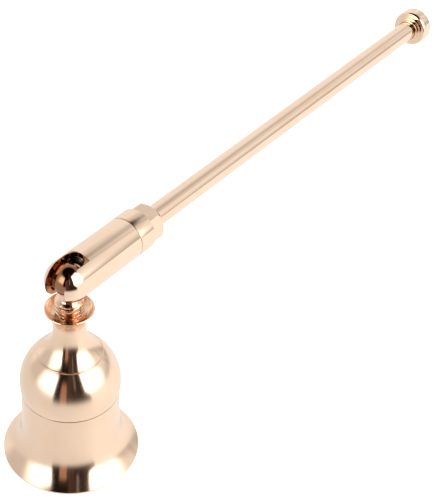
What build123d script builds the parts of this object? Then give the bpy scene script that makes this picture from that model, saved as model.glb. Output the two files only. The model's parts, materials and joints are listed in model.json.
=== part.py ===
from build123d import *
import os
from math import asin, cos, radians, sin, sqrt

os.makedirs("parts", exist_ok=True)

# Candle snuffer: a turned bell on a ball swivel at the end of a slim tubular handle.
# Frame: +Z up, the bell stands on its rim at z = 0, the handle reaches out along +X.
# All lengths are millimetres, all angles degrees.

# ---------------------------------------------------------------- driving dimensions

# Bell
rim_d = 29.4  # outside diameter of the mouth
rim_land = 1.3  # width of the flat ring that the bell stands on
lip_h = 0.45  # upright edge of the rim
bulb_d = 21.4  # outside diameter of the round bulb
bulb_centre_h = 20.1  # height of the bulb's centre above the rim
crease_h = 17.75  # height of the crease between bulb and skirt
bell_wall = 3.1  # thickness of bulb and skirt
skirt_straight = 0.66  # share of the skirt's height over which it leaves the crease upright
skirt_flare_up = 0.225  # share of that height at which the flare turns outwards
skirt_flare_in = 1.05  # share of the flare's width, in from the rim, at that turn

# Neck cap with its saucer
cap_d = 14.0  # diameter where it sits on the bulb
cap_edge = 0.35  # height of the bead at its foot
waist_d = 7.0  # narrowest part of the neck
waist_up = 7.2  # narrowest part, above the seat on the bulb
cove_in = 0.66  # share of the cap's radius that the cove's foot pulls in to
cove_up = 0.30  # share of the way up to the waist at which it does so
neck_straight = 0.45  # share of the way to the waist, from above or below, that runs upright
saucer_d = 10.4  # outside diameter of the saucer rim
saucer_up = 12.36  # saucer rim, above the seat on the bulb
saucer_depth = 1.5  # depth of the hollow inside the rim
saucer_lip = 0.4  # thickness of the saucer rim, which is rounded over
saucer_flare_in = 0.6  # the outside turns upwards this far in from the rim
saucer_flare_up = 0.45  # and this far above the hollow's floor
bowl_in = 0.64  # the hollow turns this far in from the lip
bowl_up = 0.38  # and this far above its floor
bowl_flat = 0.6  # flat floor round the threaded collar

# Swivel
ball_d = 7.0
saucer_gap = 2.82  # from the saucer rim up to the socket
collar_thread_d = 6.0  # coarse threaded collar of the stud, just above the saucer
thread_pitch = 1.0
thread_depth = 0.5
thread_flank = 0.42  # share of the pitch that each flank takes
thread_root = 0.12  # share of the pitch left flat at the root
thread_top_gap = 0.42  # from the first thread up to the socket
stem_d = 4.0  # plain stem between the threaded collar and the ball
stem_in_ball = 2.2  # how far the stem reaches past the ball's centre
tail_d = 4.0  # stud below the saucer, through neck cap, bell, washer and nut
washer_d = 9.0
washer_t = 0.8
washer_pad = 0.4  # flat left round the washer inside the bell
nut_across_flats = 7.0
nut_h = 3.2
stud_past_nut = 0.8  # thread that shows below the nut

# Handle
droop = 3.56  # slope of the handle below level
bore_gap = 0.15  # the bore behind the ball is wider than the ball's seat, on the radius
socket_wall = 1.03  # wall round that bore
nose_back = 0.4  # the round nose is struck this far in front of the ball's centre
slot_gap = 0.4  # room each side of the stem in the slot
slot_reach = 3.3  # from the ball's centre to the end of the slot
socket_l = 18.07  # from the ball's centre to the joint with the collar
socket_thread_w = 0.25  # depth of the female thread that the collar screws into
socket_thread_l = 6.0
follower_l = 4.0
follower_seat_d = 3.9  # edge of the cup that bears on the ball
follower_cone_l = 0.55
follower_land_l = 0.22  # narrow turned band behind the cone
follower_land_in = 0.14  # how far that band stands in from the full radius
spring_wire_d = 0.7
spring_turns = 5
collar_l = 8.73  # visible length of the collar
collar_round_l = 4.4  # round part next to the joint
hex_turn = 10.5  # how far one flat of the hexagon is turned from the top
collar_taper_l = 1.5
collar_end_w = 1.28  # rim left round the rod at the collar's end
rod_d = 4.85
rod_wall = 0.3
rod_l = 115.9  # from the collar's counterbore to the knob's counterbore
rod_sink = 1.5  # depth of both counterbores
plug_thread_d = 3.0  # threaded end of the rod's plugs
plug_thread_l = 4.0
plug_in_rod = 4.0
knob_d = 9.1
knob_l = 5.6
knob_ring_w = 0.58  # small turned step round the rod
knob_step_w = 0.5  # second step, round the first
knob_step_l = 0.7
knob_face_in = 0.35  # the near face is smaller than the full diameter, on the radius
knob_shoulder_l = 1.2
knob_dome_r = 14.0  # radius of the domed end

# Clearances between pieces
turn_gap = 0.05  # stem in ball and ball in socket, on the radius
slide_gap = 0.1  # follower in the bore and spring round its peg, on the radius
screw_gap = 0.05  # threads, on the radius
wire_gap = 0.05  # spring ends off their seats
edge_break = 0.15  # small chamfers that take the edge off

# ---------------------------------------------------------------- places worked out

rim_r = rim_d / 2
bulb_r = bulb_d / 2
bulb_in_r = bulb_r - bell_wall
cap_r = cap_d / 2
waist_r = waist_d / 2
saucer_r = saucer_d / 2
ball_r = ball_d / 2
tail_r = tail_d / 2
thread_r = collar_thread_d / 2
stem_r = stem_d / 2
seat_r = ball_r + turn_gap
bore_r = seat_r + bore_gap
socket_r = bore_r + socket_wall
slot_w = stem_d + 2 * slot_gap
rod_r = rod_d / 2
knob_r = knob_d / 2
plug_r = plug_thread_d / 2

cap_seat_h = bulb_centre_h + sqrt(bulb_r**2 - cap_r**2)
waist_h = cap_seat_h + waist_up
saucer_h = cap_seat_h + saucer_up
saucer_floor_h = saucer_h - saucer_depth
pivot_h = saucer_h + saucer_gap + socket_r
under_top_r = washer_d / 2 + washer_pad
under_top_h = bulb_centre_h + sqrt(bulb_in_r**2 - under_top_r**2)
thread_top_h = pivot_h - socket_r - thread_top_gap
nut_low_h = under_top_h - washer_t - nut_h
stud_low_h = nut_low_h - stud_past_nut
crease_r = sqrt(bulb_r**2 - (bulb_centre_h - crease_h) ** 2)

collar_start = socket_l
hex_start = collar_start + collar_round_l
collar_end = collar_start + collar_l
rod_start = collar_end - rod_sink
rod_end = rod_start + rod_l
knob_start = rod_end - rod_sink
knob_end = knob_start + knob_l

# The bell's axis stands off the origin so that the whole object is centred on it.
reach = (knob_end - knob_dome_r) * cos(radians(droop)) + knob_dome_r
bell_x = (rim_r - reach) / 2

bell_base = (bell_x, 0, 0)
bell_axis = Axis(bell_base, (0, 0, 1))
bell_side = Plane(origin=bell_base, x_dir=(1, 0, 0), z_dir=(0, -1, 0))

pivot = (bell_x, 0, pivot_h)
along = (cos(radians(droop)), 0, -sin(radians(droop)))
handle_axis = Axis(pivot, along)
handle_side = Plane(origin=pivot, x_dir=along, z_dir=(0, -1, 0))
handle_end_on = Plane(origin=pivot, x_dir=(0, 1, 0), z_dir=along)


def save(piece, label):
    """Name a finished piece and write it as its own STEP file."""
    piece.part.label = label
    export_step(piece.part, f"parts/{label}.step")


# ---------------------------------------------------------------- bell cup
# Round bulb on a flared skirt, one hollow casting, open at the mouth.

skirt_turn_h = (1 - skirt_straight) * crease_h
flare_turn_h = skirt_flare_up * crease_h
flare_turn_r = rim_r - skirt_flare_in * (rim_r - crease_r)
bulb_in_low_r = sqrt(bulb_in_r**2 - (bulb_centre_h - crease_h) ** 2)

with BuildPart() as bell_cup:
    with BuildSketch(bell_side):
        with BuildLine():
            Line((tail_r + screw_gap, cap_seat_h), (cap_r, cap_seat_h))
            ThreePointArc(
                (cap_r, cap_seat_h),
                (bulb_r, bulb_centre_h),
                (crease_r, crease_h),
            )
            Bezier(
                (crease_r, crease_h),
                (crease_r, skirt_turn_h),
                (flare_turn_r, flare_turn_h),
                (rim_r, lip_h),
            )
            Polyline((rim_r, lip_h), (rim_r, 0), (rim_r - rim_land, 0))
            Bezier(
                (rim_r - rim_land, 0),
                (flare_turn_r - bell_wall, flare_turn_h),
                (bulb_in_low_r, skirt_turn_h),
                (bulb_in_low_r, crease_h),
            )
            ThreePointArc(
                (bulb_in_low_r, crease_h),
                (bulb_in_r, bulb_centre_h),
                (under_top_r, under_top_h),
            )
            Polyline(
                (under_top_r, under_top_h),
                (tail_r + screw_gap, under_top_h),
                (tail_r + screw_gap, cap_seat_h),
            )
        make_face()
    revolve(axis=bell_axis)
save(bell_cup, "bell_cup")

# ---------------------------------------------------------------- neck cap
# Turned piece that covers the top of the bulb: a cove up to a slim neck, then a
# saucer with a hollow top. The stud screws through it.

lip_centre_h = saucer_h - saucer_lip / 2

with BuildPart() as neck_cap:
    with BuildSketch(bell_side):
        with BuildLine():
            Polyline(
                (tail_r + screw_gap, cap_seat_h),
                (cap_r, cap_seat_h),
                (cap_r, cap_seat_h + cap_edge),
            )
            Bezier(
                (cap_r, cap_seat_h + cap_edge),
                (cove_in * cap_r, cap_seat_h + cove_up * waist_up),
                (waist_r, waist_h - neck_straight * waist_up),
                (waist_r, waist_h),
            )
            Bezier(
                (waist_r, waist_h),
                (waist_r, saucer_h - neck_straight * (saucer_h - waist_h)),
                (saucer_r - saucer_flare_in, saucer_floor_h + saucer_flare_up),
                (saucer_r, lip_centre_h),
            )
            ThreePointArc(
                (saucer_r, lip_centre_h),
                (saucer_r - saucer_lip / 2, saucer_h),
                (saucer_r - saucer_lip, lip_centre_h),
            )
            Bezier(
                (saucer_r - saucer_lip, lip_centre_h),
                (saucer_r - saucer_lip - bowl_in, saucer_floor_h + bowl_up),
                (thread_r + bowl_flat, saucer_floor_h),
                (thread_r + screw_gap, saucer_floor_h),
            )
            Polyline(
                (thread_r + screw_gap, saucer_floor_h),
                (tail_r + screw_gap, saucer_floor_h),
                (tail_r + screw_gap, cap_seat_h),
            )
        make_face()
    revolve(axis=bell_axis)
save(neck_cap, "neck_cap")

# ---------------------------------------------------------------- swivel stud
# One turned piece: a plain stem that goes up into the ball, a coarse threaded collar
# that shows above the saucer, and a slimmer threaded tail down into the bell.

thread_root_r = thread_r - thread_depth
thread_count = int((thread_top_h - saucer_floor_h) / thread_pitch)
first_turn_h = thread_top_h - thread_count * thread_pitch
flank_l = thread_flank * thread_pitch
root_l = thread_root * thread_pitch
stem_top_h = pivot_h + stem_in_ball

with BuildPart() as swivel_stud:
    with BuildSketch(bell_side):
        with BuildLine():
            outline = [
                (0, stud_low_h),
                (tail_r - 2 * edge_break, stud_low_h),
                (tail_r, stud_low_h + 2 * edge_break),
                (tail_r, saucer_floor_h),
                (thread_r, saucer_floor_h),
                (thread_r, first_turn_h),
            ]
            for turn in range(thread_count):
                foot_h = first_turn_h + turn * thread_pitch
                outline += [
                    (thread_root_r, foot_h + flank_l),
                    (thread_root_r, foot_h + flank_l + root_l),
                    (thread_r, foot_h + 2 * flank_l + root_l),
                    (thread_r, foot_h + thread_pitch),
                ]
            outline += [
                (stem_r, thread_top_h + thread_depth),
                (stem_r, stem_top_h),
                (0, stem_top_h),
            ]
            Polyline(*outline, close=True)
        make_face()
    revolve(axis=bell_axis)
save(swivel_stud, "swivel_stud")

# ---------------------------------------------------------------- washer and nut
# Inside the bell, holding cup and neck cap together on the stud.

with BuildPart() as bell_washer:
    with BuildSketch(Plane(origin=(bell_x, 0, under_top_h - washer_t))):
        Circle(washer_d / 2)
        Circle(tail_r + screw_gap, mode=Mode.SUBTRACT)
    extrude(amount=washer_t)
    chamfer(bell_washer.edges().filter_by(GeomType.CIRCLE).group_by(SortBy.RADIUS)[-1], edge_break)
save(bell_washer, "bell_washer")

with BuildPart() as bell_nut:
    with BuildSketch(Plane(origin=(bell_x, 0, nut_low_h))):
        RegularPolygon(nut_across_flats / 2, 6, major_radius=False)
    extrude(amount=nut_h)
    with BuildSketch(bell_side, mode=Mode.PRIVATE) as nut_turning:
        with BuildLine():
            corner_r = nut_across_flats / sqrt(3)
            flat_r = nut_across_flats / 2
            Polyline(
                (0, nut_low_h),
                (flat_r, nut_low_h),
                (corner_r + edge_break, nut_low_h + (corner_r + edge_break - flat_r) / 2),
                (corner_r + edge_break, nut_low_h + nut_h),
                (0, nut_low_h + nut_h),
                close=True,
            )
        make_face()
    revolve(nut_turning.sketch, axis=bell_axis, mode=Mode.INTERSECT)
    with Locations((bell_x, 0, nut_low_h + nut_h / 2)):
        Cylinder(tail_r + screw_gap, nut_h, mode=Mode.SUBTRACT)
save(bell_nut, "bell_nut")

# ---------------------------------------------------------------- swivel ball
# Ball that the stem turns in; it tilts in the socket.

with BuildPart() as swivel_ball:
    with Locations(pivot):
        Sphere(ball_r)
    with BuildSketch(Plane(origin=(bell_x, 0, pivot_h - ball_d))):
        Circle(stem_r + turn_gap)
    extrude(amount=ball_d + stem_in_ball + turn_gap, mode=Mode.SUBTRACT)
save(swivel_ball, "swivel_ball")

# ---------------------------------------------------------------- swivel socket
# Round-nosed tube, slotted right through so that the stem can swing. Its inside is
# a ball seat, then a plain bore, then the female thread for the collar.

socket_thread_r = bore_r + socket_thread_w
thread_start = socket_l - socket_thread_l
nose_tip = -nose_back - socket_r
nose_mid = socket_r * sqrt(0.5)
seat_mid = seat_r * sqrt(0.5)
slot_centre = slot_reach - slot_w / 2

with BuildPart() as swivel_socket:
    with BuildSketch(handle_side):
        with BuildLine():
            Polyline((-seat_r, 0), (nose_tip, 0))
            ThreePointArc(
                (nose_tip, 0),
                (-nose_back - nose_mid, nose_mid),
                (-nose_back, socket_r),
            )
            Polyline(
                (-nose_back, socket_r),
                (socket_l - edge_break, socket_r),
                (socket_l, socket_r - edge_break),
                (socket_l, socket_thread_r),
                (thread_start, socket_thread_r),
                (thread_start, bore_r),
                (0, bore_r),
                (0, seat_r),
            )
            ThreePointArc(
                (0, seat_r),
                (-seat_mid, seat_mid),
                (-seat_r, 0),
            )
        make_face()
    revolve(axis=handle_axis)
    with BuildSketch(Plane(origin=pivot, x_dir=along, z_dir=handle_side.y_dir)):
        with Locations((slot_centre, 0)):
            Circle(slot_w / 2)
        with Locations((slot_centre + nose_tip, 0)):
            Rectangle(-2 * nose_tip, slot_w)
    extrude(amount=2 * socket_r, both=True, mode=Mode.SUBTRACT)
save(swivel_socket, "swivel_socket")

# ---------------------------------------------------------------- ball follower
# Plug behind the ball, with a hollow front; the spring pushes it forward.

follower_seat_r = follower_seat_d / 2
follower_r = bore_r - slide_gap
cup_edge = sqrt(seat_r**2 - follower_seat_r**2)
follower_back = cup_edge + follower_cone_l + follower_l
spring_r = follower_r - spring_wire_d / 2 - slide_gap
peg_r = spring_r - spring_wire_d / 2 - slide_gap
peg_l = 2 * spring_wire_d
cone_back = cup_edge + follower_cone_l
cup_turn = asin(follower_seat_r / seat_r) / 2

with BuildPart() as ball_follower:
    with BuildSketch(handle_side):
        with BuildLine():
            ThreePointArc(
                (seat_r, 0),
                (seat_r * cos(cup_turn), seat_r * sin(cup_turn)),
                (cup_edge, follower_seat_r),
            )
            Polyline(
                (cup_edge, follower_seat_r),
                (cone_back, follower_r - follower_land_in),
                (cone_back + follower_land_l, follower_r),
                (follower_back, follower_r),
                (follower_back, peg_r),
                (follower_back + peg_l, peg_r),
                (follower_back + peg_l, 0),
                (seat_r, 0),
            )
        make_face()
    revolve(axis=handle_axis)
save(ball_follower, "ball_follower")

# ---------------------------------------------------------------- handle collar
# Screws into the socket and loads the spring. Round by the joint, then a hexagon
# for a spanner, then a short taper. The rod's plug screws into its far end.

spigot_l = socket_thread_l - 2 * edge_break
spigot_r = socket_thread_r - screw_gap
spigot_face = collar_start - spigot_l
hex_across = 2 * socket_r * cos(radians(30))
collar_end_r = rod_r + collar_end_w
plug_hole_l = plug_thread_l + 2 * edge_break

with BuildPart() as handle_collar:
    with BuildSketch(handle_side):
        Polygon(
            (spigot_face, 0),
            (spigot_face, spigot_r - 2 * edge_break),
            (spigot_face + 2 * edge_break, spigot_r),
            (collar_start, spigot_r),
            (collar_start, socket_r - edge_break),
            (collar_start + edge_break, socket_r),
            (collar_end - collar_taper_l, socket_r),
            (collar_end, collar_end_r),
            (collar_end, 0),
            align=None,
        )
    revolve(axis=handle_axis)
    with BuildSketch(handle_end_on.offset(hex_start)):
        Circle(2 * socket_r)
        RegularPolygon(
            hex_across / 2,
            6,
            major_radius=False,
            rotation=hex_turn,
            mode=Mode.SUBTRACT,
        )
    extrude(amount=collar_l, mode=Mode.SUBTRACT)
    with BuildSketch(handle_end_on.offset(rod_start)):
        Circle(rod_r + screw_gap)
    extrude(amount=collar_l, mode=Mode.SUBTRACT)
    with BuildSketch(handle_end_on.offset(rod_start)):
        Circle(plug_r + screw_gap)
    extrude(amount=-plug_hole_l, mode=Mode.SUBTRACT)
save(handle_collar, "handle_collar")

# ---------------------------------------------------------------- follower spring
# Compression spring between the follower and the collar's spigot.

spring_start = follower_back + wire_gap + spring_wire_d / 2
spring_stop = spigot_face - wire_gap - spring_wire_d / 2
spring_rise = spring_stop - spring_start

with BuildPart() as follower_spring:
    with BuildLine() as spring_path:
        Helix(
            pitch=spring_rise / spring_turns,
            height=spring_rise,
            radius=spring_r,
            center=handle_end_on.offset(spring_start).origin,
            direction=along,
        )
    with BuildSketch(Plane(origin=spring_path.line @ 0, z_dir=spring_path.line % 0)):
        Circle(spring_wire_d / 2)
    sweep(is_frenet=True)
save(follower_spring, "follower_spring")

# ---------------------------------------------------------------- handle rod
# Plain drawn tube from the collar to the knob.

with BuildPart() as handle_rod:
    with BuildSketch(handle_end_on.offset(rod_start)):
        Circle(rod_r)
        Circle(rod_r - rod_wall, mode=Mode.SUBTRACT)
    extrude(amount=rod_l)
    chamfer(handle_rod.edges().filter_by(GeomType.CIRCLE).group_by(SortBy.RADIUS)[-1], edge_break)
save(handle_rod, "handle_rod")

# ---------------------------------------------------------------- rod plugs
# One in each end of the tube, with a threaded stub: one for the collar, one for the
# knob. outward is +1 for the knob end and -1 for the collar end.

for label, mouth, outward in (("collar_plug", rod_start, -1), ("knob_plug", rod_end, 1)):
    with BuildPart() as rod_plug:
        with BuildSketch(handle_side):
            Polygon(
                (mouth - outward * plug_in_rod, 0),
                (mouth - outward * plug_in_rod, rod_r - rod_wall - screw_gap),
                (mouth, rod_r - rod_wall - screw_gap),
                (mouth, plug_r),
                (mouth + outward * (plug_thread_l - edge_break), plug_r),
                (mouth + outward * plug_thread_l, plug_r - edge_break),
                (mouth + outward * plug_thread_l, 0),
                align=None,
            )
        revolve(axis=handle_axis)
    save(rod_plug, label)

# ---------------------------------------------------------------- end knob
# Turned knob with two small steps towards the rod and a domed end.

knob_face = knob_start + 2 * knob_step_l
knob_full = knob_face + knob_shoulder_l
knob_ring_r = rod_r + knob_ring_w
knob_step_r = knob_ring_r + knob_step_w
knob_face_r = knob_r - knob_face_in
dome_edge_r = knob_r - 3 * edge_break
dome_centre = knob_end - knob_dome_r
dome_edge = dome_centre + sqrt(knob_dome_r**2 - dome_edge_r**2)
dome_mid = dome_centre + sqrt(knob_dome_r**2 - (dome_edge_r / 2) ** 2)

with BuildPart() as end_knob:
    with BuildSketch(handle_side):
        with BuildLine():
            Polyline(
                (knob_start, 0),
                (knob_start, knob_ring_r - edge_break),
                (knob_start + edge_break, knob_ring_r),
                (knob_start + knob_step_l, knob_ring_r),
                (knob_start + knob_step_l, knob_step_r),
                (knob_face, knob_step_r),
                (knob_face, knob_face_r),
            )
            Bezier((knob_face, knob_face_r), (knob_face, knob_r), (knob_full, knob_r))
            Line((knob_full, knob_r), (dome_edge - 3 * edge_break, knob_r))
            ThreePointArc(
                (dome_edge - 3 * edge_break, knob_r),
                (dome_edge - edge_break, knob_r - edge_break),
                (dome_edge, dome_edge_r),
            )
            ThreePointArc((dome_edge, dome_edge_r), (dome_mid, dome_edge_r / 2), (knob_end, 0))
            Line((knob_end, 0), (knob_start, 0))
        make_face()
    revolve(axis=handle_axis)
    with BuildSketch(handle_end_on.offset(rod_end)):
        Circle(rod_r + screw_gap)
    extrude(amount=-knob_l, mode=Mode.SUBTRACT)
    with BuildSketch(handle_end_on.offset(rod_end - edge_break)):
        Circle(plug_r + screw_gap)
    extrude(amount=plug_hole_l, mode=Mode.SUBTRACT)
save(end_knob, "end_knob")
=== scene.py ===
import json
from math import acos, asin, atan2, ceil, cos, degrees, pi, radians, sin, sqrt

import bmesh
import bpy
from mathutils import Matrix, Vector


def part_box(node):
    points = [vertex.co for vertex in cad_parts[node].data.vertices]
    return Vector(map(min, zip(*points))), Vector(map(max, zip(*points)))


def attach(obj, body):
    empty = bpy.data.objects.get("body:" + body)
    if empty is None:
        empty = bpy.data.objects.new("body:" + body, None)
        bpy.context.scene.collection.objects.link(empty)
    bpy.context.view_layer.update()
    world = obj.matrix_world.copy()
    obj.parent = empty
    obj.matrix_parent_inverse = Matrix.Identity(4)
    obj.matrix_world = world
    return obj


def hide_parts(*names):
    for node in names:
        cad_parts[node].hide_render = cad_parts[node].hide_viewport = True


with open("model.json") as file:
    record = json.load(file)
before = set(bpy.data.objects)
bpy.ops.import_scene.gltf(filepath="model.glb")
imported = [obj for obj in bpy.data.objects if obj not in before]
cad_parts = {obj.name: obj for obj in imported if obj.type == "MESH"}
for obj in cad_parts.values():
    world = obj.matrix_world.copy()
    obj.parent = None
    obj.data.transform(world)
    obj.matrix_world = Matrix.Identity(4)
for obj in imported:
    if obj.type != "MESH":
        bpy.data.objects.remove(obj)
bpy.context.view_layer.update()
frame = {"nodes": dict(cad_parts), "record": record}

# ------------------------------------------------------------------------------------
# Bell cup: one hollow casting in brass, a round bulb on a flared skirt, turned outside,
# polished and plated in rose gold. It stands on the flat ring of its rim, and the stud
# holds it to the neck cap through the hole in its top.

mm = 0.001
pivot = Vector(frame["record"]["behaviour"]["joints"][0]["pos_m"])
bell_axis = Matrix.Translation((pivot.x, 0, 0))

rim_r = 14.7
rim_land = 1.3
lip_h = 0.45
bulb_r = 10.7
bulb_centre_h = 20.1
crease_h = 17.75
crease_r = sqrt(bulb_r**2 - (bulb_centre_h - crease_h) ** 2)
bell_wall = 3.1
cap_r = 7.0
cap_seat_h = bulb_centre_h + sqrt(bulb_r**2 - cap_r**2)
tail_r = 2.0
screw_gap = 0.05
inner_r = bulb_r - bell_wall
under_top_r = 4.9
under_top_h = bulb_centre_h + sqrt(inner_r**2 - under_top_r**2)
groove_w = 0.09
skirt_straight = 0.66
skirt_flare_up = 0.225
skirt_flare_in = 1.05
edge_round = 0.12
nowhere = -99.0


def arc(centre, radius, start, end, steps):
    """Points on a round stretch of an outline, angles in degrees from straight outwards."""
    turns = [radians(start + (end - start) * k / steps) for k in range(steps + 1)]
    return [(centre[0] + radius * cos(a), centre[1] + radius * sin(a)) for a in turns]


def bend(start, leave, arrive, end, steps):
    """Points on a smooth stretch that leaves start towards leave and comes to end from arrive."""
    points = []
    for k in range(steps + 1):
        t = k / steps
        weights = ((1 - t) ** 3, 3 * (1 - t) ** 2 * t, 3 * (1 - t) * t**2, t**3)
        corners = (start, leave, arrive, end)
        points.append(tuple(sum(w * c[i] for w, c in zip(weights, corners)) for i in (0, 1)))
    return points


def new_piece(name, points, faces, place, sharp=32):
    """A piece's object from points in millimetres, shaded smooth but for its true edges."""
    mesh = bpy.data.meshes.new(name)
    mesh.from_pydata([tuple(mm * c for c in p) for p in points], [], faces)
    mesh.validate()
    form = bmesh.new()
    form.from_mesh(mesh)
    bmesh.ops.remove_doubles(form, verts=form.verts, dist=1e-7)
    bmesh.ops.recalc_face_normals(form, faces=form.faces)
    form.to_mesh(mesh)
    form.free()
    mesh.shade_smooth()
    mesh.set_sharp_from_angle(angle=radians(sharp))
    piece = bpy.data.objects.new(name, mesh)
    bpy.context.scene.collection.objects.link(piece)
    piece.matrix_world = place
    return piece


def skin(rows, turns, closed):
    """Faces between one ring of points and the next, and from the last to the first."""
    return [
        (
            row * turns + k,
            row * turns + (k + 1) % turns,
            (row + 1) % rows * turns + (k + 1) % turns,
            (row + 1) % rows * turns + k,
        )
        for row in range(rows if closed else rows - 1)
        for k in range(turns)
    ]


def turned(name, outline, place, closed=True, turns=160):
    """A piece turned in a lathe: its outline of (radius, height) swept round the axis."""
    points = [
        (r * cos(2 * pi * k / turns), r * sin(2 * pi * k / turns), h)
        for r, h in outline
        for k in range(turns)
    ]
    return new_piece(name, points, skin(len(outline), turns, closed), place)


class Shade:
    """A value on its way through a material's nodes, so that sums of it read as sums."""

    def __init__(self, tree, socket):
        self.tree = tree
        self.socket = socket

    def maths(self, operation, *parts):
        sockets = dict(enumerate(parts))
        return make(self.tree, "ShaderNodeMath", {"operation": operation}, sockets)

    def of(self, operation, *others):
        """What that operation makes of this value and the others."""
        return self.maths(operation, self, *others)

    def __add__(self, other):
        return self.maths("ADD", self, other)

    def __radd__(self, other):
        return self.maths("ADD", other, self)

    def __sub__(self, other):
        return self.maths("SUBTRACT", self, other)

    def __rsub__(self, other):
        return self.maths("SUBTRACT", other, self)

    def __mul__(self, other):
        return self.maths("MULTIPLY", self, other)

    def __rmul__(self, other):
        return self.maths("MULTIPLY", other, self)

    def between(self, low, high):
        """0 below low, 1 above high, and a smooth rise between them."""
        settings = {"interpolation_type": "SMOOTHSTEP"}
        return make(self.tree, "ShaderNodeMapRange", settings, {0: self, 1: low, 2: high})


def make(tree, kind, settings=None, sockets=None, out=0):
    """One node of that kind, with its settings made first and then its sockets filled."""
    node = tree.nodes.new(kind)
    for name, value in (settings or {}).items():
        setattr(node, name, value)
    for name, value in (sockets or {}).items():
        if isinstance(value, Shade):
            tree.links.new(value.socket, node.inputs[name])
        else:
            node.inputs[name].default_value = value
    return Shade(tree, node.outputs[out]) if node.outputs else None


def blend(tree, level, one, other):
    """One colour giving way to another as level goes from 0 to 1."""
    settings = {"data_type": "RGBA"}
    return make(tree, "ShaderNodeMix", settings, {0: level, 6: one, 7: other}, out=2)


def new_finish(name):
    """An empty material and its node tree."""
    material = bpy.data.materials.new(name)
    material.use_nodes = True
    material.node_tree.nodes.clear()
    return material, material.node_tree


def place_parts(tree):
    """A point on the piece in millimetres: across, across, along the axis, and its radius."""
    point = make(tree, "ShaderNodeTexCoord", out="Object")
    x, y, z = (make(tree, "ShaderNodeSeparateXYZ", {}, {0: point}, out=k) for k in range(3))
    x, y, z = (1000 * part for part in (x, y, z))
    radius = (x * x + y * y).of("SQRT")
    return x, y, z, radius


def grain(tree, x, y, z, scale=1.0, detail=2.0):
    """Soft noise from 0 to 1 at that place."""
    spot = make(tree, "ShaderNodeCombineXYZ", {}, {0: x, 1: y, 2: z})
    sockets = {"Vector": spot, "Scale": scale, "Detail": detail}
    return make(tree, "ShaderNodeTexNoise", {}, sockets)


def plated(
    name, pale, deep, roughness, brushing=0.0, ring_marks=0.0, line_marks=0.0, joint_h=nowhere,
    slot=(0, nowhere),
):
    """Polished rose gold plating on turned metal. ring_marks is the depth of the turning
    marks that run round the axis, line_marks that of polishing lines along it. A fine dark
    line at joint_h is painted shade where two surfaces meet, and the faces of a slot, given
    as its half width and reach, are painted a smeared deep copper as a painted reflection
    of the plating in itself."""
    material, tree = new_finish(name)
    x, y, z, radius = place_parts(tree)
    clouds = grain(tree, x, y, z, 0.11, 3.0)
    thin_spots = grain(tree, x, y, z, 0.9, 4.0).between(0.55, 0.75)
    rings = grain(tree, radius, z, 0.0, 7.0, 3.0)
    fine_rings = grain(tree, radius, z, 0.02 * x, 24.0, 2.0)
    lines = grain(tree, 3 * x, 3 * y, 0.05 * z, 5.0, 3.0)
    hairlines = grain(tree, 0.6 * x + 1.3 * z, 2.5 * y, 0.08 * x, 3.2, 2.0).between(0.68, 0.72)
    colour = blend(tree, 0.55 * clouds.between(0.35, 0.7) + 0.35 * thin_spots, pale, deep)
    # Painted shade: a fine dark line, broken up by clouds, where two surfaces meet at joint_h.
    joint_shade_mask = 1 - (z - joint_h).of("ABSOLUTE").between(0.05, 0.15)
    painted_joint_shade = (0.35 + 0.5 * clouds.between(0.4, 0.6)) * joint_shade_mask
    colour = blend(tree, painted_joint_shade, colour, (0.10, 0.055, 0.03, 1))
    # Painted reflection: the slot faces are painted a smeared deep copper, the plating mirrored in
    # itself.
    slot_reflection_mask = (1 - y.of("ABSOLUTE").between(slot[0] + 0.03, slot[0] + 0.1)) * (
        1 - z.between(slot[1], slot[1] + 0.1)
    )
    reflection_smears = grain(tree, x, 3 * y, z, 0.8, 3.0).between(0.35, 0.65)
    painted_copper_reflection = blend(tree, reflection_smears, (0.80, 0.42, 0.22, 1), (0.42, 0.20, 0.10, 1))
    colour = blend(tree, slot_reflection_mask, colour, painted_copper_reflection)
    gloss = roughness + 0.05 * (clouds - 0.5) + 0.04 * (rings - 0.5) + 0.05 * hairlines
    height = ring_marks * (rings + 0.6 * fine_rings) + line_marks * lines - 0.1 * hairlines
    bump = make(
        tree,
        "ShaderNodeBump",
        {},
        {"Strength": 0.5, "Distance": 0.001 * mm, "Height": height},
    )
    shader = make(
        tree,
        "ShaderNodeBsdfPrincipled",
        {},
        {
            "Base Color": colour,
            "Metallic": 1.0,
            "Roughness": gloss,
            "Anisotropic": brushing,
            "Anisotropic Rotation": 0.25,
            "Normal": bump,
        },
    )
    make(tree, "ShaderNodeOutputMaterial", {}, {0: shader})
    return material


skirt_turn_h = (1 - skirt_straight) * crease_h
flare_turn_r = rim_r - skirt_flare_in * (rim_r - crease_r)
skirt_outside = bend(
    (rim_r, lip_h),
    (flare_turn_r, skirt_flare_up * crease_h),
    (crease_r, skirt_turn_h),
    (crease_r, crease_h - groove_w),
    64,
)
bulb_low = degrees(asin((crease_h + groove_w - bulb_centre_h) / bulb_r))
bulb_high = degrees(acos(cap_r / bulb_r))
inner_low = degrees(asin((crease_h - bulb_centre_h) / inner_r))
inner_low_r = inner_r * cos(radians(inner_low))
bell_outline = (
    arc((rim_r - edge_round, edge_round), edge_round, -90, 0, 6)
    + skirt_outside
    + [(crease_r - 1.3 * groove_w, crease_h - 0.2 * groove_w)]
    + arc((0, bulb_centre_h), bulb_r, bulb_low, bulb_high, 72)
    + [(tail_r + screw_gap, cap_seat_h), (tail_r + screw_gap, under_top_h)]
    + arc((0, bulb_centre_h), inner_r, degrees(acos(under_top_r / inner_r)), inner_low, 40)
    + bend(
        (inner_low_r, crease_h),
        (inner_low_r, skirt_turn_h),
        (flare_turn_r - bell_wall, skirt_flare_up * crease_h),
        (rim_r - rim_land - edge_round, edge_round),
        40,
    )
    + [(rim_r - rim_land, 0)]
)
bell_cup = turned("bell_cup_plated", bell_outline, bell_axis)
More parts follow.
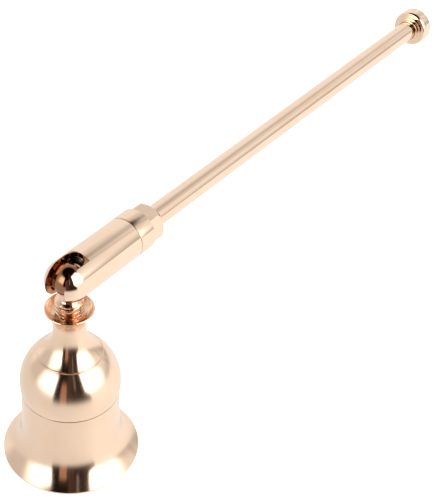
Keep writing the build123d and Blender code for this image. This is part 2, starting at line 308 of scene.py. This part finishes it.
bell_plate = plated(
    "rose_gold_on_bell",
    pale=(0.915, 0.685, 0.51, 1),
    deep=(0.90, 0.64, 0.455, 1),
    roughness=0.17,
    brushing=0.85,
    ring_marks=0.30,
    # painted shade line in the crease between bulb and skirt
    joint_h=crease_h,
)
bell_cup.data.materials.append(bell_plate)
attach(bell_cup, "bell")
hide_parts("bell_cup")

# ------------------------------------------------------------------------------------
# Neck cap: turned brass, plated with the bell. A cove rises from a thin bead on the bulb
# to a slim neck, then opens to a saucer with a hollow top round the stud.

waist_r = 3.5
waist_up = 7.2
cove_in = 0.66
cove_up = 0.30
neck_straight = 0.45
waist_h = cap_seat_h + waist_up
saucer_r = 5.2
saucer_up = 12.36
saucer_depth = 1.5
saucer_h = cap_seat_h + saucer_up
saucer_floor_h = saucer_h - saucer_depth
saucer_flare_in = 0.6
saucer_flare_up = 0.45
bowl_in = 0.64
bowl_up = 0.38
bowl_flat = 0.6
saucer_lip = 0.4
collar_r = 3.0
bead = 0.17

cap_outline = (
    [(tail_r + screw_gap, cap_seat_h), (cap_r - bead, cap_seat_h)]
    + arc((cap_r - bead, cap_seat_h + bead), bead, -90, 100, 12)
    + bend(
        (cap_r - 1.2 * bead, cap_seat_h + 2 * bead),
        (cove_in * cap_r, cap_seat_h + cove_up * waist_up),
        (waist_r, waist_h - neck_straight * waist_up),
        (waist_r, waist_h),
        48,
    )
    + bend(
        (waist_r, waist_h),
        (waist_r, saucer_h - neck_straight * (saucer_h - waist_h)),
        (saucer_r - saucer_flare_in, saucer_floor_h + saucer_flare_up),
        (saucer_r, saucer_h - saucer_lip / 2),
        36,
    )[1:]
    + arc((saucer_r - saucer_lip / 2, saucer_h - saucer_lip / 2), saucer_lip / 2, 15, 180, 14)
    + bend(
        (saucer_r - saucer_lip, saucer_h - saucer_lip / 2),
        (saucer_r - saucer_lip - bowl_in, saucer_floor_h + bowl_up),
        (collar_r + bowl_flat, saucer_floor_h),
        (collar_r + screw_gap, saucer_floor_h),
        24,
    )[1:]
    + [(tail_r + screw_gap, saucer_floor_h)]
)
neck_cap = turned("neck_cap_plated", cap_outline, bell_axis)
neck_cap.data.materials.append(bell_plate)
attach(neck_cap, "bell")
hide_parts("neck_cap")

# ------------------------------------------------------------------------------------
# Swivel stud: one turned steel piece, plated. A plain stem goes up into the ball, a coarse
# thread shows above the saucer, and a finer threaded tail runs down into the bell.

socket_r = 4.73
thread_top_gap = 0.42
thread_top_h = pivot.z / mm - socket_r - thread_top_gap
thread_pitch = 1.0
thread_depth = 0.5
stem_r = 2.0
stem_in_ball = 2.2
stem_top_h = pivot.z / mm + stem_in_ball
washer_t = 0.8
nut_h = 3.2
stud_past_nut = 0.8
stud_low_h = under_top_h - washer_t - nut_h - stud_past_nut
fine_pitch = 0.7
fine_depth = 0.3
thread_turns = 120


def threaded(radius, depth, pitch, low, high, rows_each):
    """Rows of a screw thread: (height, function of the turn that gives the radius)."""
    rows = []
    count = ceil((high - low) / pitch * rows_each)
    for row in range(count + 1):
        height = low + (high - low) * row / count
        runout = min(1, (height - low) / (0.4 * pitch), (high - height) / (0.4 * pitch))

        def radius_at(turn, height=height, runout=max(runout, 0)):
            phase = (height / pitch - turn) % 1
            ridge = 1 - abs(2 * phase - 1)
            groove = 1 - min(1, max(0, 1.9 * ridge - 0.25))
            return radius - depth * max(groove, 1 - runout)

        rows.append((height, radius_at))
    return rows


def plain(radius, height):
    """A row of a plain round stretch."""
    return (height, lambda turn: radius)


stud_rows = (
    [plain(0.01, stud_low_h), plain(tail_r - 0.4, stud_low_h)]
    + threaded(tail_r, fine_depth, fine_pitch, stud_low_h + 0.15, under_top_h, 12)
    + [plain(tail_r, under_top_h), plain(tail_r, saucer_floor_h + 0.01)]
    + [plain(collar_r - thread_depth, saucer_floor_h + 0.02)]
    + threaded(collar_r, thread_depth, thread_pitch, saucer_floor_h + 0.03, thread_top_h + 0.1, 26)
    + [plain(stem_r + 0.15, thread_top_h + 0.3), plain(stem_r, thread_top_h + thread_depth)]
    + [plain(stem_r, stem_top_h - 0.2), plain(stem_r - 0.2, stem_top_h), plain(0.01, stem_top_h)]
)
stud_points = [
    (
        radius_at(k / thread_turns) * cos(2 * pi * k / thread_turns),
        radius_at(k / thread_turns) * sin(2 * pi * k / thread_turns),
        height,
    )
    for height, radius_at in stud_rows
    for k in range(thread_turns)
]
stud_faces = skin(len(stud_rows), thread_turns, closed=False)
swivel_stud = new_piece("swivel_stud_plated", stud_points, stud_faces, bell_axis, 50)
stud_plate = plated(
    "rose_gold_on_stud",
    pale=(0.90, 0.64, 0.47, 1),
    deep=(0.86, 0.56, 0.38, 1),
    roughness=0.12,
    brushing=0.3,
    ring_marks=0.20,
)
swivel_stud.data.materials.append(stud_plate)
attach(swivel_stud, "bell")
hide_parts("swivel_stud")

# ------------------------------------------------------------------------------------
# Washer and nut inside the bell, and the plugs, spring and follower inside the handle:
# plain turned steel, bright but not plated, with the marks of the tool that cut it.


def bare_steel(name, tint, roughness, marks):
    """Turned steel with tool marks round it, a little darkened by oil in places."""
    material, tree = new_finish(name)
    x, y, z, radius = place_parts(tree)
    oil = grain(tree, x, y, z, 0.5, 4.0).between(0.5, 0.8)
    cuts = grain(tree, radius, z, 0.03 * y, 9.0, 3.0)
    oiled = tuple(0.55 * c for c in tint[:3]) + (1,)
    colour = blend(tree, 0.6 * oil, tint, oiled)
    bump = make(
        tree,
        "ShaderNodeBump",
        {},
        {"Strength": 0.6, "Distance": 0.004 * mm, "Height": marks * cuts},
    )
    shader = make(
        tree,
        "ShaderNodeBsdfPrincipled",
        {},
        {
            "Base Color": colour,
            "Metallic": 1.0,
            "Roughness": roughness + 0.12 * (cuts - 0.5) + 0.1 * oil,
            "Normal": bump,
        },
    )
    make(tree, "ShaderNodeOutputMaterial", {}, {0: shader})
    return material


steel = bare_steel("turned_steel", (0.62, 0.60, 0.58, 1), 0.3, 1.0)
for node in ("bell_washer", "bell_nut", "follower_spring", "collar_plug", "knob_plug"):
    frame["nodes"][node].data.materials.clear()
    frame["nodes"][node].data.materials.append(steel)

# ------------------------------------------------------------------------------------
# Swivel ball: a steel ball with a blind hole that the stem turns in, its plating rubbed,
# darkened by oil and painted darker still as painted shade from the socket round it. Most of
# it is inside the socket, and it shows through the slot.

ball_r = 3.5
turn_gap = 0.05
hole_r = stem_r + turn_gap
hole_low = -sqrt(ball_r**2 - hole_r**2)
hole_top = stem_in_ball + turn_gap
ball_outline = (
    [(0.01, hole_top), (hole_r, hole_top)]
    + arc((0, 0), ball_r, degrees(atan2(hole_low, hole_r)), 89.8, 72)
)
swivel_ball = turned(
    "swivel_ball_plated", ball_outline, Matrix.Translation(pivot), closed=False
)
# Dark plating colour: oil darkening plus painted shade from the socket round the ball.
ball_oil_and_shade = plated(
    "ball_oil_and_painted_shade",
    pale=(0.34, 0.18, 0.10, 1),
    deep=(0.22, 0.11, 0.06, 1),
    roughness=0.10,
    ring_marks=0.15,
)
swivel_ball.data.materials.append(ball_oil_and_shade)
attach(swivel_ball, "ball")
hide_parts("swivel_ball")

# ------------------------------------------------------------------------------------
# Swivel socket: turned and plated tube with a round nose, milled right through with a
# slot that lets the stem swing. Its inside is the ball's seat, then a plain bore.

rod_low, rod_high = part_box("handle_rod")
along = ((rod_low + rod_high) / 2 - pivot).normalized()
upward = Vector((-along.z, 0, along.x))
side = along.cross(upward)
handle_axis = Matrix.Translation(pivot) @ Matrix((upward, side, along)).transposed().to_4x4()

seat_r = ball_r + turn_gap
bore_r = seat_r + 0.15
nose_back = 0.4
socket_l = 18.07
slot_half = 2.4
slot_reach = 3.3
seam = 0.11
thread_w = 0.25
thread_l = 6
slot_edge_w = 0.11

socket_outline = (
    [(0.004, -nose_back - socket_r)]
    + arc((0, -nose_back), socket_r, -89.5, 0, 56)
    + [(socket_r, socket_l - seam)]
    + arc((socket_r - seam, socket_l - seam), seam, 15, 90, 5)
    + [(bore_r + thread_w, socket_l), (bore_r + thread_w, socket_l - thread_l)]
    + [(bore_r, socket_l - thread_l)]
    + [(bore_r, 0.0), (seat_r, 0.0)]
    + arc((0, 0), seat_r, -0.5, -89.5, 40)
    + [(0.004, -seat_r)]
)
swivel_socket = turned("swivel_socket_plated", socket_outline, handle_axis, turns=192)

# The milling cutter's path: straight in from the nose with a half-round end.
cutter_high = 2 * socket_r
slot_edge = [(-2 * socket_r, -slot_half)]
slot_edge += [(z, y) for z, y in arc((slot_reach - slot_half, 0), slot_half, -90, 90, 48)]
slot_edge += [(-2 * socket_r, slot_half)]
count = len(slot_edge)
cutter_points = [(h, y, z) for h in (-cutter_high, cutter_high) for z, y in slot_edge]
cutter_faces = [tuple(range(count)), tuple(range(2 * count - 1, count - 1, -1))]
cutter_faces += [(k, (k + 1) % count, count + (k + 1) % count, count + k) for k in range(count)]
cutter = new_piece("slot_cutter", cutter_points, cutter_faces, handle_axis)
cut = swivel_socket.modifiers.new("slot", "BOOLEAN")
cut.object = cutter
cut.solver = "EXACT"
edges = swivel_socket.modifiers.new("edges", "BEVEL")
edges.width = slot_edge_w * mm
edges.segments = 3
edges.limit_method = "ANGLE"
edges.angle_limit = radians(40)
edges.harden_normals = True
bpy.context.view_layer.update()
ready = swivel_socket.evaluated_get(bpy.context.evaluated_depsgraph_get())
swivel_socket_mesh = bpy.data.meshes.new_from_object(ready)
swivel_socket.modifiers.clear()
swivel_socket.data = swivel_socket_mesh
bpy.data.objects.remove(cutter)
handle_plate = plated(
    "rose_gold_on_handle",
    pale=(0.925, 0.70, 0.525, 1),
    deep=(0.90, 0.65, 0.47, 1),
    roughness=0.065,
    brushing=0.3,
    ring_marks=0.10,
    line_marks=0.04,
    # painted shade line in the seam between socket and collar
    joint_h=socket_l,
    # slot faces painted copper as a painted reflection
    slot=(slot_half, slot_reach),
)
swivel_socket.data.materials.clear()
swivel_socket.data.materials.append(handle_plate)
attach(swivel_socket, "handle")
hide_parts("swivel_socket")

# ------------------------------------------------------------------------------------
# Ball follower: turned plug behind the ball with a hollow front, bright from rubbing on
# the ball. The spring behind it keeps the swivel stiff.

follower_seat_r = 1.95
cup_edge = sqrt(seat_r**2 - follower_seat_r**2)
cone_l = 0.55
cone_back = cup_edge + cone_l
band_in = 0.14
band_l = 0.22
break_w = 0.1
slide_gap = 0.1
wire_r = 0.35
follower_r = bore_r - slide_gap
follower_l = 4.0
follower_back = cone_back + follower_l
peg_r = follower_r - wire_r - slide_gap - wire_r - slide_gap
peg_l = 1.4
cup_turn = degrees(asin(follower_seat_r / seat_r))
follower_outline = (
    [(z_part, r_part) for r_part, z_part in arc((0, 0), seat_r, 0.2, cup_turn, 20)]
    + [(follower_r - band_in, cone_back), (follower_r, cone_back + band_l)]
    + [(follower_r, follower_back - break_w), (follower_r - break_w, follower_back)]
    + [(peg_r, follower_back), (peg_r, follower_back + peg_l - break_w)]
    + [(peg_r - break_w, follower_back + peg_l), (0.01, follower_back + peg_l)]
)
ball_follower = turned("ball_follower_turned", follower_outline, handle_axis, closed=False)
ball_follower.data.materials.append(bare_steel("rubbed_steel", (0.70, 0.66, 0.62, 1), 0.2, 0.6))
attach(ball_follower, "handle")
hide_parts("ball_follower")

# ------------------------------------------------------------------------------------
# Handle collar: screwed into the socket, round by the joint, then milled to a hexagon
# for a spanner, with its far end turned to a short taper round the rod.

collar_l = 8.73
collar_round_l = 4.4
collar_end = socket_l + collar_l
hex_start = socket_l + collar_round_l
hex_turn = 10.5
taper_l = 1.5
collar_end_r = 3.705
rod_r = 2.425
rod_sink = 1.5
hex_edge = 0.05
collar_break = 0.1
collar_turns = 240
hex_flat_r = socket_r * cos(radians(30))


def hexagon_at(turn):
    """Radius of the hexagon in that direction, its first flat hex_turn from the top."""
    off_flat = (turn - hex_turn + 30) % 60 - 30
    return hex_flat_r / cos(radians(off_flat))


def rounded_lower(one, other, width):
    """The lower of two radii, with the edge between them eased over that width."""
    gap = max(width - abs(one - other), 0) / width
    return min(one, other) - gap * gap * width / 4


collar_rows = [(socket_l - 5.7, bore_r - 0.2, False), (socket_l - 5.7, bore_r + 0.1, False)]
collar_rows += [(socket_l - 5.5, bore_r + 0.2, False), (socket_l, bore_r + 0.2, False)]
collar_rows += [(socket_l, socket_r - seam, False)]
collar_rows += [(z, r, False) for r, z in arc((socket_r - seam, socket_l + seam), seam, -75, 0, 5)]
collar_rows += [(hex_start, socket_r, False), (hex_start, socket_r, True)]
taper_rows = 36
for row in range(taper_rows + 1):
    share = row / taper_rows
    height = collar_end - taper_l + share * (taper_l - collar_break)
    collar_rows.append((height, socket_r - share * (socket_r - collar_end_r), True))
collar_rows += [(collar_end, collar_end_r - 0.12, True), (collar_end, rod_r + screw_gap, False)]
collar_rows += [(collar_end - rod_sink, rod_r + screw_gap, False)]
collar_points = []
for height, radius, milled in collar_rows:
    for k in range(collar_turns):
        turn = 360 * k / collar_turns
        r = rounded_lower(radius, hexagon_at(turn), hex_edge) if milled else radius
        collar_points.append((r * cos(radians(turn)), r * sin(radians(turn)), height))
collar_faces = skin(len(collar_rows), collar_turns, closed=False)
handle_collar = new_piece("handle_collar_plated", collar_points, collar_faces, handle_axis, 20)
handle_collar.data.materials.append(handle_plate)
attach(handle_collar, "handle")
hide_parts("handle_collar")

# ------------------------------------------------------------------------------------
# Handle rod: plain drawn steel tube, polished along its length and plated, with a plug
# pressed into each end.

rod_wall = 0.3
rod_start = collar_end - rod_sink
rod_break = 0.15
rod_l = 115.9
rod_end = rod_start + rod_l
rod_rows = 60
rod_outline = (
    [(rod_r - rod_wall, rod_start), (rod_r - rod_break, rod_start)]
    + [(rod_r, rod_start + rod_break)]
    + [(rod_r, rod_start + rod_l * k / rod_rows) for k in range(1, rod_rows)]
    + [(rod_r, rod_end - rod_break), (rod_r - rod_break, rod_end), (rod_r - rod_wall, rod_end)]
)
handle_rod = turned("handle_rod_plated", rod_outline, handle_axis, turns=96)
rod_plate = plated(
    "rose_gold_on_rod",
    pale=(0.92, 0.70, 0.53, 1),
    deep=(0.89, 0.64, 0.46, 1),
    roughness=0.075,
    line_marks=0.08,
)
handle_rod.data.materials.append(rod_plate)
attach(handle_rod, "handle")
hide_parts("handle_rod")

# ------------------------------------------------------------------------------------
# End knob: turned and plated, screwed onto the rod's plug. Two small steps lead out to
# its face, and its far end is slightly domed.

knob_l = 5.6
knob_start = rod_end - rod_sink
knob_end = knob_start + knob_l
knob_r = 4.55
ring_w = 0.58
step_w = 0.5
ring_r = rod_r + ring_w
step_r = ring_r + step_w
step_l = 0.7
face = knob_start + 2 * step_l
dome_r = 14.0
knob_face_in = 0.45
shoulder_l = 1.2
dome_edge_r = knob_r - knob_face_in
dome_turn = degrees(asin(dome_edge_r / dome_r))
dome_centre = knob_end - dome_r
dome_edge_h = dome_centre + dome_r * cos(radians(dome_turn))
rim_straight_to = knob_end - 0.95
ease = 0.1
knob_outline = (
    [(rod_r + screw_gap, knob_start + 0.08), (rod_r + screw_gap + 0.08, knob_start)]
    + arc((ring_r - ease, knob_start + ease), ease, -90, 0, 6)
    + [(ring_r, knob_start + step_l)]
    + arc((step_r - ease, knob_start + step_l + ease), ease, -90, 0, 6)
    + [(step_r, face - 0.05), (step_r + 0.05, face)]
    + bend(
        (knob_r - knob_face_in, face),
        (knob_r - 0.15, face),
        (knob_r, face + 0.5),
        (knob_r, face + shoulder_l),
        16,
    )
    + bend(
        (knob_r, rim_straight_to),
        (knob_r, knob_end - 0.7),
        (dome_edge_r + 0.3, dome_edge_h + 0.02),
        (dome_edge_r, dome_edge_h),
        12,
    )
    + [(r, z) for z, r in arc((dome_centre, 0), dome_r, dome_turn, 0.1, 20)][1:]
)
end_knob = turned("end_knob_plated", knob_outline, handle_axis, closed=False, turns=144)
end_knob.data.materials.append(handle_plate)
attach(end_knob, "handle")
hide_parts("end_knob")

# ------------------------------------------------------------------------------------
# Floor: a plain white sheet, lit a little from below as a light table is, so that the
# shadow on it stays faint. The metal mirrors the tent's own floor instead of it.

floor_size = 6.0
floor_sink = 0.00002
bpy.ops.mesh.primitive_grid_add(x_subdivisions=4, y_subdivisions=4, size=floor_size)
floor = bpy.context.object
floor.name = "floor_sheet"
floor.location = (0, 0, -floor_sink)
floor.visible_glossy = False
paper, paper_tree = new_finish("white_sheet")
spot = make(paper_tree, "ShaderNodeTexCoord", out="Object")
fibres = make(paper_tree, "ShaderNodeTexNoise", {}, {"Vector": spot, "Scale": 900.0})
sheet = make(
    paper_tree,
    "ShaderNodeBsdfPrincipled",
    {},
    {
        "Base Color": (0.90, 0.90, 0.90, 1),
        "Roughness": 0.85 + 0.1 * fibres,
        "Emission Color": (1, 1, 1, 1),
        "Emission Strength": 0.75,
    },
)
make(paper_tree, "ShaderNodeOutputMaterial", {}, {0: sheet})
floor.data.materials.append(paper)

# ------------------------------------------------------------------------------------
# Studio: a white fabric tent with a soft lamp each side, open at the front where the
# stand is. Directions are turns round the object from the front opening, and heights.

front = Vector((-0.8483, -0.5295, 0))
right = Vector((0.5295, -0.8483, 0))

world = bpy.data.worlds.new("white_tent")
bpy.context.scene.world = world
world.use_nodes = True
tent = world.node_tree
tent.nodes.clear()
way = make(tent, "ShaderNodeTexCoord", out="Generated")
wx, wy, wz = (make(tent, "ShaderNodeSeparateXYZ", {}, {0: way}, out=k) for k in range(3))
ahead = front.x * wx + front.y * wy
across = right.x * wx + right.y * wy
turn = degrees(1) * across.of("ARCTAN2", ahead)
lift = degrees(1) * wz.of("ARCSINE")


def band(value, low, high, soft):
    """1 between low and high, easing to 0 over soft at each side."""
    return value.between(low - soft, low + soft) * (1 - value.between(high - soft, high + soft))


# Fabric: the level of its floor, then its walls with folds, all in turns and heights.
floor_level = 1.0 + 0.16 * across - 0.1 * ahead.between(0.2, 0.9)
fold_places = ((0.25, 136, 158, 9), (0.2, 122, 129, 3), (0.3, -112, -76, 8))
wall_level = 1
for depth, start, end, soft in fold_places:
    wall_level = wall_level - depth * band(turn, start, end, soft)
wall_level = wall_level * (1 - 0.45 * band(turn, 92, 178, 6) * (1 - lift.between(0, 24)))
wall_level = wall_level * (1 - 0.28 * lift.between(30, 48))

# Lamps: bright through the fabric, the left one lower than the right.
lamp_level = 2.4
lamp_soft = 16
lamp_soft_up = 12
left_lamp = band(turn, -64, -12, lamp_soft) * band(lift, 5, 44, lamp_soft_up)
right_lamp = band(turn, 26, 92, lamp_soft) * band(lift, 8, 54, lamp_soft_up)
walls = wall_level + lamp_level * left_lamp + lamp_level * right_lamp
tent_level = floor_level + lift.between(-1.5, 0.5) * (walls - floor_level)

# The roof is dark, and starts higher over the right lamp.
roof = lift.between(54, 64)
roof = roof + (1 - band(turn, 34, 94, 7)) * (lift.between(45, 54) - roof)
tent_level = tent_level * (1 - 0.985 * roof)

# Opening: the dark room seen through it, and in that room the stand, its legs and a strip.
opening_left = -28.5
opening_right = 39 + 12 * (1 - lift.between(-8, 18))
opening = band(turn, opening_left, opening_right, 2.5) * lift.between(-22, -6)
opening_high = band(turn, -42, 33, 6) * lift.between(42, 52)
dark = 1 - (1 - opening) * (1 - opening_high)
stand = band(turn, -14, -1, 1.5) * (1 - lift.between(24, 40))
legs = band(turn, 2, 6, 1) + 0.8 * band(turn, 8, 11, 1)
strip = band(turn, 16.5, 20, 1) * lift.between(12, 26)
room = blend(tent, turn.between(-6, 6), (0.004, 0.004, 0.004, 1), (0.036, 0.022, 0.015, 1))
room = blend(tent, stand, room, (0.45, 0.25, 0.17, 1))
room = blend(tent, legs, room, (0.10, 0.055, 0.045, 1))
room = blend(tent, strip, room, (0.30, 0.26, 0.27, 1))
bright = make(
    tent, "ShaderNodeVectorMath", {"operation": "SCALE"}, {0: (1.0, 1.0, 1.0), "Scale": tent_level}
)
seen = blend(tent, dark, bright, room)
seen_direct = make(tent, "ShaderNodeLightPath", out="Is Camera Ray")
seen = blend(tent, seen_direct, seen, (1.0, 1.0, 1.0, 1))
glow = make(tent, "ShaderNodeBackground", {}, {0: seen, 1: 1.0})
make(tent, "ShaderNodeOutputWorld", {}, {0: glow})

# ------------------------------------------------------------------------------------
# Camera: above the bell's end and to one side, looking down over the handle. Its place is
# measured from the swivel, and a small shift frames the whole snuffer.

eye = pivot + Vector((-0.16932, -0.14235, 0.1954274))
tip = radians(40.273)
roll = radians(4.343)
view_ahead = Vector((-front.x * cos(tip), -front.y * cos(tip), -sin(tip)))
view_up = Vector((-front.x * sin(tip), -front.y * sin(tip), cos(tip)))
view_right = cos(roll) * right + sin(roll) * view_up
view_top = cos(roll) * view_up - sin(roll) * right
lens = bpy.data.cameras.new("studio_camera")
lens.sensor_width = 36
lens.sensor_fit = "AUTO"
lens.lens = 106.66
lens.shift_x = -0.0209
lens.shift_y = 0.0104
lens.clip_start = 0.01
camera = bpy.data.objects.new("studio_camera", lens)
camera.matrix_world = (
    Matrix.Translation(eye)
    @ Matrix((view_right, view_top, -view_ahead)).transposed().to_4x4()
)
bpy.context.scene.collection.objects.link(camera)
bpy.context.scene.camera = camera
bpy.context.scene.view_settings.view_transform = "Standard"
